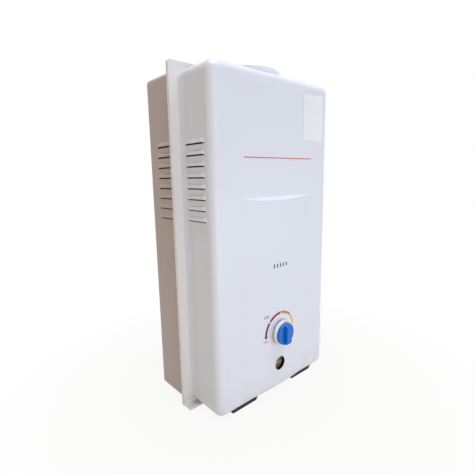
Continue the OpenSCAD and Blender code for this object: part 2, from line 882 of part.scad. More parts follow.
module igniter_unit() {
    color("dimgray") translate([chamber_w / 2 - igniter_w, back_y - sheet - igniter_d, knob_z]) {
        cube([igniter_w, igniter_d, igniter_h]);
        along_x([igniter_w, igniter_d / 2, igniter_h / 2]) cylinder(r = lead_r, h = lead_l);
    }
}

// Profile of revolution turned about the knob's axis, facing the front
module turned_on_knob(y) {
    translate([0, y, knob_z]) rotate([90, 0, 0]) rotate_extrude() children();
}

// Rectangle with its far upper corner rounded
module crown_block(w, h, r) {
    translate([0, h]) mirror([0, 1]) corner_block(w, h, r);
}

module knob_cap() {
    proud = cap_y - (panel_y - knob_proud);
    color([0.08, 0.39, 0.84]) difference() {
        union() {
            turned_on_knob(cap_y) crown_block(cap_r, cap_base_h, cap_edge_r);
            intersection() {
                turned_on_knob(cap_y) crown_block(cap_r - grip_inset, proud, 2 * cap_edge_r);
                translate([-grip_w / 2, cap_y - proud - over, knob_z - cap_r])
                    cube([grip_w, proud + over, 2 * cap_r]);
            }
        }
        along_y([0, spindle_y - fit, knob_z]) cylinder(r = spindle_r + fit, h = proud);
    }
}

module knob_skirt() {
    color("white") difference() {
        turned_on_knob(skirt_y) crown_block(skirt_r, skirt_t, skirt_t / 2);
        along_y([0, cap_y - over, knob_z]) cylinder(r = spindle_r + fit, h = skirt_t + 2 * over);
    }
}

// Round bar with one flat
module keyed_bar(r, length) {
    difference() {
        cylinder(r = r, h = length);
        translate([-r, r * key_flat, -over]) cube([2 * r, r, length + 2 * over]);
    }
}

module knob_spindle() {
    color("khaki") along_y([0, spindle_y, knob_z]) keyed_bar(spindle_r, spindle_end - spindle_y);
}

// Sleeve behind the skirt that carries the return spring's seat
module knob_bush() {
    color("khaki") difference() {
        union() {
            along_y([0, skirt_y, knob_z]) cylinder(r = bush_r, h = seat_y + seat_t - skirt_y);
            along_y([0, seat_y, knob_z]) cylinder(r = seat_r, h = seat_t);
        }
        along_y([0, skirt_y - over, knob_z])
            cylinder(r = spindle_r + fit, h = seat_y + seat_t - skirt_y + 2 * over);
    }
}

// Helical spring along +Z: rings of points round a helix, joined by triangles
module spring(coil_r, wire_r, length, turns) {
    sides = 6;
    rings = turns * 12;
    rise = length - 2 * wire_r;
    points = [
        for (k = [0 : rings], s = [0 : sides - 1])
            let (turn = 360 * turns * k / rings, around = 360 * s / sides, r = coil_r + wire_r * cos(around))
                [r * cos(turn), r * sin(turn), wire_r * (1 + sin(around)) + rise * k / rings]
    ];
    walls = [
        for (k = [0 : rings - 1], s = [0 : sides - 1])
            let (a = k * sides + s, b = k * sides + (s + 1) % sides)
                each [[a, b, b + sides], [a, b + sides, a + sides]]
    ];
    first = [for (s = [1 : sides - 2]) [0, s + 1, s]];
    last = [for (s = [1 : sides - 2]) [rings * sides, rings * sides + s, rings * sides + s + 1]];
    polyhedron(points, concat(walls, first, last));
}

module knob_spring() {
    color("silver") along_y([0, seat_y + seat_t + spring_gap, knob_z])
        spring(knob_spring_r, spring_wire_r, spring_free - 2 * spring_gap, 4);
}

module gas_tap_body() {
    color("darkgray") difference() {
        union() {
            along_y([0, tap_front, knob_z]) cylinder(r = tap_r, h = tap_l);
            along_y([0, tap_back, knob_z]) cylinder(r = boss_r, h = boss_l);
            translate([0, valve_y, tap_z]) cylinder(r = tap_r - outlet_step, h = outlet_top - tap_z);
            translate([0, valve_y, tap_z]) cylinder(r = tap_flange_r, h = tap_flange_t);
        }
        along_y([0, tap_front - over, knob_z])
            cylinder(r = plug_r + fit, h = plug_bore_end - tap_front + over);
        along_y([0, plug_bore_end, knob_z]) cylinder(r = plug_r / 2, h = tap_l);
        translate([0, valve_y, disc_z]) cylinder(r = disc_room_r, h = disc_room_top - disc_z);
        translate([0, valve_y, tap_z - over]) cylinder(r = rod_r + fit, h = tap_floor + 2 * over);
        translate([0, valve_y, disc_room_top - over]) cylinder(r = plug_r / 2, h = outlet_top);
    }
}

module tap_front_plate() {
    color("darkgray") difference() {
        along_y([0, tap_plate_y, knob_z]) cylinder(r = tap_r, h = tap_plate_t);
        along_y([0, tap_plate_y - over, knob_z]) cylinder(r = spindle_r + fit, h = tap_plate_t + 2 * over);
    }
}

// Turning plug with a cross port and a keyed socket for the sliding spindle
module tap_plug() {
    color("goldenrod") difference() {
        along_y([0, plug_front, knob_z]) cylinder(r = plug_r, h = plug_l - fit);
        along_y([0, plug_front - over, knob_z])
            keyed_bar(spindle_r + fit, plug_l / 2 + knob_travel + 2 * over);
        along_y([0, plug_bore_end - plug_r / 2, knob_z]) cylinder(r = plug_r / 2, h = plug_r);
    }
}

module gas_valve_disc() {
    color("dimgray") translate([0, valve_y, disc_z + fit]) cylinder(r = disc_r, h = disc_t);
}

module gas_valve_spring() {
    room = disc_room_top - disc_z - disc_t - fit;
    color("silver") translate([0, valve_y, disc_room_top - room + spring_gap])
        spring(disc_r - disc_rim, spring_wire_r, room - 2 * spring_gap, 3);
}

// Rod with the plate that the diaphragm lifts
module push_rod() {
    color("silver") translate([0, valve_y, water_cover_z + fit]) {
        cylinder(r = rod_plate_r, h = rod_plate_t);
        cylinder(r = rod_r, h = disc_z - water_cover_z);
    }
}

module valve_screw_places() {
    for (i = [0 : valve_screws_n - 1]) {
        angle = (i + 0.5) * 360 / valve_screws_n;
        translate([valve_screw_ring * cos(angle), valve_y + valve_screw_ring * sin(angle), water_z])
            children();
    }
}

module diaphragm() {
    color([0.1, 0.1, 0.1]) difference() {
        translate([0, valve_y, diaphragm_z]) cylinder(r = water_r, h = diaphragm_t);
        valve_screw_places() cylinder(r = screw_r + fit, h = 2 * water_body_h);
    }
}

module water_valve_body() {
    room_r = water_r - water_wall;
    color("goldenrod") difference() {
        union() {
            translate([0, valve_y, water_z]) cylinder(r = water_r, h = water_body_h);
            along_y([0, adjuster_boss_y, adjuster_z])
                cylinder(r = adjuster_boss_r, h = adjuster_boss_l + water_wall);
            along_y([0, valve_y + room_r, port_z]) cylinder(r = boss_r - port_step, h = water_wall + boss_l);
            along_x([room_r, valve_y, port_z]) cylinder(r = boss_r - port_step, h = water_wall + boss_l);
        }
        translate([0, valve_y, water_z + water_floor]) cylinder(r = room_r, h = water_body_h);
        along_y([0, adjuster_boss_y - over, adjuster_z]) cylinder(r = adjuster_r + fit, h = water_r / 2);
        along_y([0, valve_y, port_z]) cylinder(r = pipe_r - pipe_t, h = 2 * water_r);
        along_x([0, valve_y, port_z]) cylinder(r = pipe_r - pipe_t, h = 2 * water_r);
        valve_screw_places() translate([0, 0, -over])
            cylinder(r = screw_r + fit, h = water_body_h + 2 * over);
    }
}

module water_valve_cover() {
    color("goldenrod") difference() {
        translate([0, valve_y, water_cover_z]) cylinder(r = water_r, h = water_cover_h);
        translate([0, valve_y, water_cover_z - over])
            cylinder(r = water_r - water_wall, h = water_cover_h - water_roof + over);
        translate([0, valve_y, water_cover_z]) cylinder(r = rod_r + fit, h = water_cover_h + over);
        valve_screw_places() cylinder(r = screw_r + fit, h = tap_z - water_z - water_roof);
    }
}

module valve_screws() {
    color("silver") valve_screw_places() screw(tap_z - water_z - water_roof - valve_screw_gap);
}

module flow_adjuster() {
    color("gold") difference() {
        union() {
            along_y([0, adjuster_boss_y - adjuster_head_t, adjuster_z])
                cylinder(r = adjuster_head_r, h = adjuster_head_t);
            along_y([0, adjuster_boss_y, adjuster_z])
                cylinder(r = adjuster_r, h = adjuster_boss_l + water_wall);
        }
        translate([0, adjuster_boss_y - adjuster_head_t, adjuster_z]) rotate([0, adjuster_slot_turn, 0])
            cube([3 * adjuster_head_r, adjuster_head_t, adjuster_slot_w], center = true);
    }
}

// Round union through the pipe plate, with a flange under it and a threaded socket at its mouth
module pipe_union(x) {
    translate([x, stub_y, stub_clear]) difference() {
        union() {
            cylinder(r = union_r, h = union_top - stub_clear);
            translate([0, 0, plate_z - union_flange_t - stub_clear])
                cylinder(r = union_flange_r, h = union_flange_t);
        }
        translate([0, 0, -over]) cylinder(r = thread_r, h = thread_l + over);
        cylinder(r = stub_bore_r, h = union_top);
    }
}

// Hexagon nuts that hold the unions on the pipe plate
module lock_nuts() {
    color("goldenrod") for (x = [-stub_pitch, 0, stub_pitch]) {
        translate([x, stub_y, union_floor]) difference() {
            cylinder(r = lock_nut_r, h = lock_nut_t, $fn = 6);
            translate([0, 0, -over]) cylinder(r = union_r + fit, h = lock_nut_t + 2 * over);
        }
    }
}

function unit(v) = v / norm(v);
// Direction of the run that ends at point i
function run_in(points, i) = unit(points[i] - points[i - 1]);
// Angle through which a pipe turns at point i, none at its ends
function turn_at(points, i) =
    i == 0 || i == len(points) - 1 ? 0 : acos(run_in(points, i) * run_in(points, i + 1));
// Length that the bend at point i takes off each of its runs
function bend_trim(points, i) = pipe_bend_r * tan(turn_at(points, i) / 2);

// Bent pipe through a list of points
module pipe(points, r) {
    difference() {
        pipe_run(points, r, 0);
        pipe_run(points, r - pipe_t, over);
    }
}

module pipe_run(points, r, more) {
    last = len(points) - 1;
    for (i = [1 : last]) {
        along = run_in(points, i);
        start = points[i - 1] + along * (i == 1 ? -more : bend_trim(points, i - 1));
        length = norm(points[i] - start) + (i == last ? more : -bend_trim(points, i));
        translate(start) rotate([0, acos(along.z), atan2(along.y, along.x)]) cylinder(r = r, h = length);
    }
    for (i = [1 : last - 1]) pipe_bend(points, i, r);
}

// Round bend at point i of a pipe, from the end of one run to the start of the next
module pipe_bend(points, i, r) {
    along = run_in(points, i);
    start = points[i] - along * bend_trim(points, i);
    inward = unit(run_in(points, i + 1) - along * (along * run_in(points, i + 1)));
    side = cross(-inward, along);
    middle = start + inward * pipe_bend_r;
    multmatrix([
        [-inward.x, along.x, side.x, middle.x],
        [-inward.y, along.y, side.y, middle.y],
        [-inward.z, along.z, side.z, middle.z],
        [0, 0, 0, 1]
    ]) rotate_extrude(angle = turn_at(points, i)) translate([pipe_bend_r, 0]) circle(r);
}

module cold_inlet_union() {
    color("goldenrod") pipe_union(stub_pitch);
}

module hot_outlet_union() {
    color("goldenrod") pipe_union(-stub_pitch);
}

module gas_inlet_union() {
    color("goldenrod") pipe_union(0);
}

module cold_pipe() {
    color("peru") pipe([
        [stub_pitch, stub_y, union_top], [stub_pitch, stub_y, low_pipe_z],
        [stub_pitch, cold_turn_y, low_pipe_z],
        [0, cold_turn_y, low_pipe_z], [0, valve_y + water_r + boss_l, low_pipe_z]
    ], pipe_r);
}

module riser_pipe() {
    color("peru") pipe([
        [water_r + boss_l, valve_y, port_z], [side_pipe_x, valve_y, port_z],
        [side_pipe_x, valve_y, tube_z], [tube_end_x, valve_y, tube_z]
    ], pipe_r);
}

module hot_pipe() {
    color("peru") pipe([
        [-tube_end_x, tube_y(tubes - 1), tube_z], [-side_pipe_x, tube_y(tubes - 1), tube_z],
        [-side_pipe_x, stub_y, low_pipe_z], [-stub_pitch, stub_y, low_pipe_z],
        [-stub_pitch, stub_y, union_top]
    ], pipe_r);
}

module gas_pipe() {
    color("silver") pipe([
        [0, stub_y, union_top], [0, stub_y, knob_z], [0, tap_back + boss_l, knob_z]
    ], pipe_r);
}

module gas_riser() {
    turn_z = outlet_top + bend_room;
    color("silver") pipe([
        [0, valve_y, outlet_top], [0, valve_y, turn_z], [0, manifold_y, turn_z],
        [0, manifold_y, manifold_z - manifold_r]
    ], riser_r);
}

front_cover();
rear_case();
pipe_plate();
mounting_frame();
front_feet();
rear_feet();
cover_screws();
frame_screws();
flue_collar();
draught_hood();
combustion_chamber();
chamber_brackets();
exchanger_fins();
exchanger_tubes();
overheat_switch();
burner_tray();
burner_bars();
gas_manifold();
injectors();
pilot_burner();
thermocouple();
spark_electrode();
igniter_unit();
knob_cap();
knob_skirt();
knob_spindle();
knob_bush();
knob_spring();
gas_tap_body();
tap_front_plate();
tap_plug();
gas_valve_disc();
gas_valve_spring();
push_rod();
diaphragm();
water_valve_body();
water_valve_cover();
valve_screws();
flow_adjuster();
cold_inlet_union();
cold_pipe();
riser_pipe();
hot_pipe();
hot_outlet_union();
gas_inlet_union();
lock_nuts();
gas_pipe();
gas_riser();
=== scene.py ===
import json
import math

import bmesh
import bpy
from mathutils import Matrix, Vector


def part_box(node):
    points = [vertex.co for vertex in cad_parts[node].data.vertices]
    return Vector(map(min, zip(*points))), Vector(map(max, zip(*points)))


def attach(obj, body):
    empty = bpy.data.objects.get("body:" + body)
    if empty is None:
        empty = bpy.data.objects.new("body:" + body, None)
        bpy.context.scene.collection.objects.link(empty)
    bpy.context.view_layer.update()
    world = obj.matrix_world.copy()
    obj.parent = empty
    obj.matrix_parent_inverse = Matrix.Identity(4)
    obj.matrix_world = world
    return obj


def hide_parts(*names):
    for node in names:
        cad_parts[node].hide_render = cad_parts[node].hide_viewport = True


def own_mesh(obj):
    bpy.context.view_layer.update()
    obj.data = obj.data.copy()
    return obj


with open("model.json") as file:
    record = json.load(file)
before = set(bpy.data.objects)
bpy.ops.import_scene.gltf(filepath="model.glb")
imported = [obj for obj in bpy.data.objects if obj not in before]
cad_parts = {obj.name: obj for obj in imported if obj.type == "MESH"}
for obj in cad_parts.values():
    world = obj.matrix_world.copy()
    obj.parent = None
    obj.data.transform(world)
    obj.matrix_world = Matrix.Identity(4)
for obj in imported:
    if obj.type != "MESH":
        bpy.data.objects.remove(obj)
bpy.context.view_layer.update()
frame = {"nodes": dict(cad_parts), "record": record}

# Sizes of the front panel, in metres, as in the solids
PANEL_Y = -0.08225
FACE_Y = -0.07525
BOW_R = 0.648143
KNOB_Z = 0.1325
COVER_Z = 0.007
SLOT_Z = COVER_Z + 0.261
PRINT_LIFT = 0.00012
PRINT_T = 0.0001


# Shader arithmetic


class Value:
    """A shader socket that takes part in Python arithmetic."""

    def __init__(self, paint, socket):
        self.paint = paint
        self.socket = socket

    def math(self, operation, first, second):
        return self.paint.add("ShaderNodeMath", {"operation": operation}, {0: first, 1: second})

    def __add__(self, other):
        return self.math("ADD", self, other)

    __radd__ = __add__

    def __sub__(self, other):
        return self.math("SUBTRACT", self, other)

    def __rsub__(self, other):
        return self.math("SUBTRACT", other, self)

    def __mul__(self, other):
        return self.math("MULTIPLY", self, other)

    __rmul__ = __mul__

    def clamp(self):
        return self.paint.add("ShaderNodeClamp", {}, {"Value": self})

    def larger(self, other):
        return self.math("MAXIMUM", self, other)


class Paint:
    """One material or world tree, with its nodes added by type, settings and inputs."""

    def __init__(self, tree):
        self.tree = tree

    def add(self, kind, settings=None, inputs=None, out=0):
        node = self.tree.nodes.new(kind)
        for key, value in (settings or {}).items():
            setattr(node, key, value)
        for key, value in (inputs or {}).items():
            if isinstance(value, Value):
                self.tree.links.new(value.socket, node.inputs[key])
            else:
                node.inputs[key].default_value = value
        return Value(self, node.outputs[out])

    def link(self, value, socket):
        self.tree.links.new(value.socket, socket)

    def object_place(self):
        return self.add("ShaderNodeTexCoord", out=3)

    def noise(self, place, scale, detail=3.0, roughness=0.5):
        return self.add("ShaderNodeTexNoise", {}, {
            "Vector": place, "Scale": scale, "Detail": detail, "Roughness": roughness})

    def stretched(self, place, scale):
        return self.add("ShaderNodeMapping", {}, {"Vector": place, "Scale": scale})

    def axis(self, place, index):
        return self.add("ShaderNodeSeparateXYZ", {}, {0: place}, out=index)

    def ramp(self, value, low, high):
        return self.add("ShaderNodeMapRange", {"interpolation_type": "SMOOTHSTEP"}, {
            "Value": value, "From Min": low, "From Max": high, "To Min": 0.0, "To Max": 1.0})

    def mix(self, factor, first, second):
        return self.add("ShaderNodeMix", {"data_type": "RGBA"}, {0: factor, 6: first, 7: second}, out=2)

    def bump(self, height, strength, distance):
        return self.add("ShaderNodeBump", {}, {"Height": height, "Strength": strength, "Distance": distance})


def srgb(red, green, blue):
    """Linear colour of 8-bit sRGB values."""
    def linear(value):
        value /= 255.0
        return value / 12.92 if value <= 0.04045 else ((value + 0.055) / 1.055) ** 2.4
    return (linear(red), linear(green), linear(blue), 1.0)


def shade(colour, factor):
    return tuple(channel * factor for channel in colour[:3]) + (1.0,)


def finish(base, roughness, normal, metallic=0.0, coat=0.0, **fixed):
    """Material from its painter's values: linked where they change, set where they don't."""
    paint, shader = base.paint, base.paint.shader
    paint.link(base, shader.inputs["Base Color"])
    paint.link(normal, shader.inputs["Normal"])
    for key, value in (("Roughness", roughness), ("Metallic", metallic), ("Coat Weight", coat)):
        if isinstance(value, Value):
            paint.link(value, shader.inputs[key])
        else:
            shader.inputs[key].default_value = value
    for key, value in fixed.items():
        shader.inputs[key.replace("_", " ")].default_value = value
    return paint.material


def new_paint(name):
    material = bpy.data.materials.new(name)
    material.use_nodes = True
    paint = Paint(material.node_tree)
    paint.material = material
    paint.shader = material.node_tree.nodes["Principled BSDF"]
    return paint


# Finishes of the casing and the knob


def stove_enamel(name, colour, dust, shaded_view_slots=False):
    """Gloss enamel: faint clouding, orange peel, dust on top, grime at the foot, and painted shade on the
    walls of the view slots.
    """
    paint = new_paint(name)
    place = paint.object_place()
    cloud = paint.noise(place, 5.0, 4.0)
    peel = paint.noise(place, 420.0, 2.0)
    speck = paint.ramp(paint.noise(place, 950.0, 1.0), 0.74, 0.80)
    streak = paint.noise(paint.stretched(place, (60.0, 60.0, 3.0)), 1.0, 3.0)
    foot = 1.0 - paint.ramp(paint.axis(place, 2), 0.012, 0.075)
    normal = paint.add("ShaderNodeNewGeometry", out=1)
    up = paint.ramp(paint.axis(normal, 2), 0.6, 0.95)
    grime = (foot * 0.35 * streak + up * 0.25 * cloud + speck * 0.25).clamp()
    base = paint.mix(cloud, shade(colour, 0.955), colour)
    base = paint.mix(grime * 0.5, base, dust)
    rough = 0.13 + 0.10 * cloud + 0.22 * grime
    if shaded_view_slots:
        # Painted shade: the walls behind the five view slots are darkened nearly to black, standing in for
        # the shade inside the slots, and made rougher.
        x, y, z = (paint.axis(place, index) for index in range(3))
        behind = paint.ramp(y - x * x * (0.5 / BOW_R), PANEL_Y + 0.0001, PANEL_Y + 0.0003)
        across = 1.0 - paint.ramp(x * x, 0.020 ** 2, 0.022 ** 2)
        above = paint.ramp(z, SLOT_Z - 0.011, SLOT_Z - 0.010)
        below = 1.0 - paint.ramp(z, SLOT_Z + 0.010, SLOT_Z + 0.011)
        slot_shade = behind * across * (above * below)
        base = paint.mix(slot_shade * 0.95, base, srgb(30, 28, 27))
        rough = rough + 0.4 * slot_shade
    return finish(base, rough, paint.bump(peel, 0.12, 0.0004), coat=0.4 - 0.3 * grime, Coat_Roughness=0.06)


def moulded_plastic(name, colour, rough, grain):
    """Moulded plastic: faint flow marks, fine grain and hair scratches."""
    paint = new_paint(name)
    place = paint.object_place()
    flow = paint.noise(place, 60.0, 3.0)
    fine = paint.noise(place, 1800.0, 2.0)
    scratch = paint.ramp(paint.noise(paint.stretched(place, (2500.0, 2500.0, 120.0)), 1.0, 2.0), 0.62, 0.75)
    base = paint.mix(flow, shade(colour, 0.86), colour)
    base = paint.mix(scratch * 0.12, base, shade(colour, 1.5))
    return finish(base, rough + 0.10 * flow + 0.15 * scratch, paint.bump(fine, grain, 0.0003), IOR=1.49)


def moulded_rubber(name):
    """Black rubber: matte grain with grey dust in its hollows."""
    paint = new_paint(name)
    place = paint.object_place()
    grain = paint.noise(place, 1400.0, 3.0)
    dust = paint.ramp(paint.noise(place, 55.0, 5.0), 0.50, 0.72)
    base = paint.mix(dust * 0.5, srgb(18, 18, 21), srgb(66, 64, 62))
    return finish(base, 0.62 + 0.25 * dust, paint.bump(grain, 0.35, 0.0006))


# Finishes of the inner pieces


def plated_steel(name):
    """Zinc plating: small crystals of differing brightness, and faint rolling lines."""
    paint = new_paint(name)
    place = paint.object_place()
    crystal = paint.add("ShaderNodeTexVoronoi", {}, {"Vector": place, "Scale": 240.0}, out=1)
    tone = paint.axis(crystal, 0)
    line = paint.noise(paint.stretched(place, (20.0, 20.0, 900.0)), 1.0, 2.0)
    stain = paint.ramp(paint.noise(place, 30.0, 4.0), 0.55, 0.75)
    base = paint.mix(tone, srgb(168, 170, 172), srgb(202, 203, 204))
    base = paint.mix(stain * 0.35, base, srgb(132, 126, 116))
    rough = 0.30 + 0.14 * tone + 0.20 * stain
    return finish(base, rough, paint.bump(line, 0.10, 0.0003), metallic=0.95)


def bare_copper(name):
    """Copper: drawn lines, brown oxide in clouds and heat colours above the burner."""
    paint = new_paint(name)
    place = paint.object_place()
    cloud = paint.ramp(paint.noise(place, 18.0, 5.0), 0.42, 0.72)
    line = paint.noise(paint.stretched(place, (700.0, 700.0, 25.0)), 1.0, 2.0)
    heat = paint.ramp(paint.axis(place, 2), 0.27, 0.40) * (1.0 - paint.ramp(paint.axis(place, 2), 0.43, 0.49))
    base = paint.mix(line, srgb(146, 90, 66), srgb(172, 110, 82))
    base = paint.mix(cloud * 0.8, base, srgb(70, 46, 38))
    base = paint.mix((heat * cloud).clamp() * 0.6, base, srgb(66, 54, 72))
    return finish(base, 0.34 + 0.3 * cloud, paint.bump(line, 0.15, 0.0003), metallic=0.95)


def cast_brass(name, bright, dull, metallic=0.95):
    """Brass: sandy casting skin with a dull tarnish."""
    paint = new_paint(name)
    place = paint.object_place()
    skin = paint.noise(place, 900.0, 4.0)
    tarnish = paint.ramp(paint.noise(place, 45.0, 5.0), 0.45, 0.70)
    base = paint.mix(skin, shade(bright, 0.74), bright)
    base = paint.mix(tarnish * 0.6, base, dull)
    return finish(base, 0.32 + 0.28 * tarnish, paint.bump(skin, 0.25, 0.0005), metallic=metallic)


def die_casting(name):
    """Grey die casting: chill marks and a fine skin."""
    paint = new_paint(name)
    place = paint.object_place()
    skin = paint.noise(place, 1100.0, 3.0)
    chill = paint.noise(place, 70.0, 5.0, 0.65)
    base = paint.mix(chill, srgb(140, 142, 144), srgb(184, 186, 187))
    return finish(base, 0.42 + 0.22 * chill, paint.bump(skin, 0.22, 0.0004), metallic=0.9)


def glazed_ceramic(name):
    """Ivory glaze with faint crazing."""
    paint = new_paint(name)
    place = paint.object_place()
    craze = paint.add("ShaderNodeTexVoronoi", {"feature": "DISTANCE_TO_EDGE"},
                      {"Vector": place, "Scale": 700.0})
    crack = 1.0 - paint.ramp(craze, 0.01, 0.05)
    base = paint.mix(crack * 0.4, srgb(226, 220, 204), srgb(150, 138, 116))
    return finish(base, 0.18 + 0.3 * crack, paint.bump(craze, 0.1, 0.0002))


def screen_ink(name, colour, uneven=0.32):
    """Printed ink or film: slightly uneven cover with a fine edge-to-edge tooth."""
    paint = new_paint(name)
    place = paint.object_place()
    cover = paint.noise(place, 260.0, 4.0)
    tooth = paint.noise(place, 2600.0, 1.0)
    base = paint.mix(cover, shade(colour, 1.0 - 0.6 * uneven), shade(colour, 1.0 + 0.4 * uneven))
    return finish(base, 0.30 + 0.18 * cover, paint.bump(tooth, 0.1, 0.0001))


WHITE = srgb(230, 233, 245)
DUST = srgb(176, 168, 158)
finishes = {
    "white_enamel": stove_enamel("white_enamel", WHITE, DUST),
    "rear_enamel": stove_enamel("rear_enamel", srgb(184, 163, 153), srgb(120, 108, 98)),
    "black_rubber": moulded_rubber("black_rubber"),
    "zinc_steel": plated_steel("zinc_steel"),
    "copper": bare_copper("copper"),
    "brass": cast_brass("brass", srgb(214, 182, 116), srgb(112, 86, 50)),
    "die_cast": die_casting("die_cast"),
    "blue_plastic": moulded_plastic("blue_plastic", srgb(4, 108, 206), 0.16, 0.06),
    "white_plastic": moulded_plastic("white_plastic", srgb(233, 234, 236), 0.20, 0.05),
    "dark_plastic": moulded_plastic("dark_plastic", srgb(42, 42, 45), 0.45, 0.25),
    "ceramic": glazed_ceramic("ceramic"),
}
for part in frame["record"]["subparts"]:
    node = frame["nodes"][part["node"]]
    node.data.materials.clear()
    node.data.materials.append(finishes[part["material_slot"]])
frame["nodes"]["front_cover"].data.materials[0] = stove_enamel("cover_enamel", WHITE, DUST, shaded_view_slots=True)
# Painted light: the mounting frame takes a lighter, warmer copy of the white enamel, standing in for the
# warmer light that falls on its flange.
frame["nodes"]["mounting_frame"].data.materials[0] = stove_enamel("frame_enamel_lit_warm", srgb(240, 239, 238), DUST)


# Prints on the front


def bow_front(x):
    """Depth of the bow panel's surface at a distance from its middle."""
    return PANEL_Y + BOW_R - math.sqrt(BOW_R * BOW_R - x * x)


def piece_from(name, bm, material, body="casing"):
    mesh = bpy.data.meshes.new(name)
    bm.to_mesh(mesh)
    bm.free()
    mesh.materials.append(material)
    piece = bpy.data.objects.new(name, mesh)
    bpy.context.scene.collection.objects.link(piece)
    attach(piece, body)
    return piece


def lay_on_panel(bm):
    """Gives a flat print in the panel's plane a film's thickness and lays it on the bow."""
    bmesh.ops.remove_doubles(bm, verts=bm.verts, dist=1e-6)
    bmesh.ops.recalc_face_normals(bm, faces=bm.faces)
    film = bmesh.ops.extrude_face_region(bm, geom=bm.faces[:])
    raised = [item for item in film["geom"] if isinstance(item, bmesh.types.BMVert)]
    bmesh.ops.translate(bm, verts=raised, vec=(0, -PRINT_T, 0))
    for vert in bm.verts:
        vert.co.y += bow_front(vert.co.x) - PRINT_LIFT
    bmesh.ops.recalc_face_normals(bm, faces=bm.faces)


def dial_band(name, first, last, inner, outer, material, arrow=0.0):
    """Band of the knob's scale between two angles, anticlockwise from the right; may end in an arrow."""
    bm = bmesh.new()
    start = math.radians(first)
    ends = [bm.verts.new((r * math.cos(start), 0, KNOB_Z + r * math.sin(start))) for r in (inner, outer)]
    edge = bm.edges.new(ends)
    steps = max(6, int(abs(last - first) / 3))
    bmesh.ops.spin(bm, geom=ends + [edge], cent=(0, 0, KNOB_Z), axis=(0, 1, 0), dvec=(0, 0, 0),
                   angle=math.radians(first - last), steps=steps, use_duplicate=False)
    if arrow:
        turn = math.radians(last)
        middle = (inner + outer) / 2
        wing = outer - inner
        tip = math.radians(last + arrow)
        places = [(middle - wing, turn), (middle + wing, turn), (middle, tip)]
        head = [bm.verts.new((r * math.cos(a), 0, KNOB_Z + r * math.sin(a))) for r, a in places]
        bm.faces.new(head)
    lay_on_panel(bm)
    return piece_from(name, bm, material)


INK = {
    "deep_red": screen_ink("ink_deep_red", srgb(104, 14, 26)),
    "red": screen_ink("ink_red", srgb(148, 26, 42)),
    "orange": screen_ink("ink_orange", srgb(206, 130, 34)),
    "yellow": screen_ink("ink_yellow", srgb(228, 206, 72)),
    "line_red": screen_ink("ink_line_red", srgb(204, 52, 74)),
    "grey": screen_ink("ink_grey", srgb(120, 70, 84)),
    "label": screen_ink("label_film", srgb(241, 243, 251), 0.04),
}
BAND = (0.0370, 0.0419)
dial_band("dial_band_deep_red", 139.5, 180.0, *BAND, INK["deep_red"], arrow=7.0)
dial_band("dial_band_red", 91.5, 136.5, *BAND, INK["red"])
dial_band("dial_band_orange", 43.0, 88.5, *BAND, INK["orange"])
dial_band("dial_band_yellow", 5.0, 40.0, *BAND, INK["yellow"])


def panel_word(name, text, x, z, height, material):
    """Word printed on the bow panel, made a mesh."""
    curve = bpy.data.curves.new(name, "FONT")
    curve.body = text
    curve.size = height / 0.7
    curve.align_x = "CENTER"
    curve.align_y = "CENTER"
    holder = bpy.data.objects.new(name + "_curve", curve)
    bpy.context.scene.collection.objects.link(holder)
    bpy.context.view_layer.update()
    flat = bpy.data.meshes.new_from_object(holder.evaluated_get(bpy.context.evaluated_depsgraph_get()))
    bpy.data.objects.remove(holder)
    bpy.data.curves.remove(curve)
    bm = bmesh.new()
    bm.from_mesh(flat)
    bpy.data.meshes.remove(flat)
    bmesh.ops.rotate(bm, verts=bm.verts, cent=(0, 0, 0), matrix=Matrix.Rotation(math.radians(90), 3, "X"))
    bmesh.ops.translate(bm, verts=bm.verts, vec=(x, 0, z))
    lay_on_panel(bm)
    return piece_from(name, bm, material)


panel_word("dial_word_off", "OFF", -0.0405, KNOB_Z - 0.0110, 0.0048, INK["grey"])
panel_word("dial_word_on", "ON", -0.0375, KNOB_Z + 0.0390, 0.0056, INK["grey"])


def face_film(name, x0, x1, z0, z1, corner, material):
    """Thin film with rounded corners on the flat face."""
    bm = bmesh.new()
    bmesh.ops.create_cube(bm, size=1.0)
    bmesh.ops.scale(bm, vec=(x1 - x0, PRINT_T, z1 - z0), verts=bm.verts)
    middle = ((x0 + x1) / 2, FACE_Y - PRINT_LIFT - PRINT_T / 2, (z0 + z1) / 2)
    bmesh.ops.translate(bm, vec=middle, verts=bm.verts)
    upright = [edge for edge in bm.edges
               if abs((edge.verts[0].co - edge.verts[1].co).normalized().y) > 0.9]
    bmesh.ops.bevel(bm, geom=upright, offset=corner, offset_type="OFFSET", affect="EDGES", segments=6,
                    profile=0.5, material=-1)
    return piece_from(name, bm, material)


face_film("face_line_red", -0.085, 0.098, COVER_Z + 0.4605, COVER_Z + 0.4621, 0.0007, INK["line_red"])
face_film("blank_label", 0.073, 0.134, COVER_Z + 0.4965, COVER_Z + 0.5835, 0.003, INK["label"])


# Threads in the pipe sockets, and springs


def wound(outline, centre, axis, pitch, turns):
    """Closed outline wound about an axis as a helix with closed ends."""
    bm = bmesh.new()
    steps = 40
    verts = [bm.verts.new(point) for point in outline]
    edges = [bm.edges.new((verts[i - 1], verts[i])) for i in range(len(verts))]
    bmesh.ops.spin(bm, geom=verts + edges, cent=centre, axis=axis, dvec=Vector(axis) * pitch / steps,
                   angle=math.tau * turns, steps=int(turns * steps), use_duplicate=False)
    bmesh.ops.holes_fill(bm, edges=[edge for edge in bm.edges if edge.is_boundary], sides=len(verts))
    bmesh.ops.recalc_face_normals(bm, faces=bm.faces)
    return bm


def socket_thread(name, x, y, mouth_z):
    """Ridge of a half inch pipe thread that winds up the wall of a socket."""
    root, crest, pitch, turns = 0.00934, 0.0084, 0.001814, 6.5
    ridge = ((root, 0.0), (crest, 0.42 * pitch), (root, 0.84 * pitch))
    bm = wound([(x + r, y, mouth_z + rise) for r, rise in ridge], (x, y, 0), (0, 0, 1), pitch, turns)
    return piece_from(name, bm, finishes["brass"])


WIRE_R = 0.0006


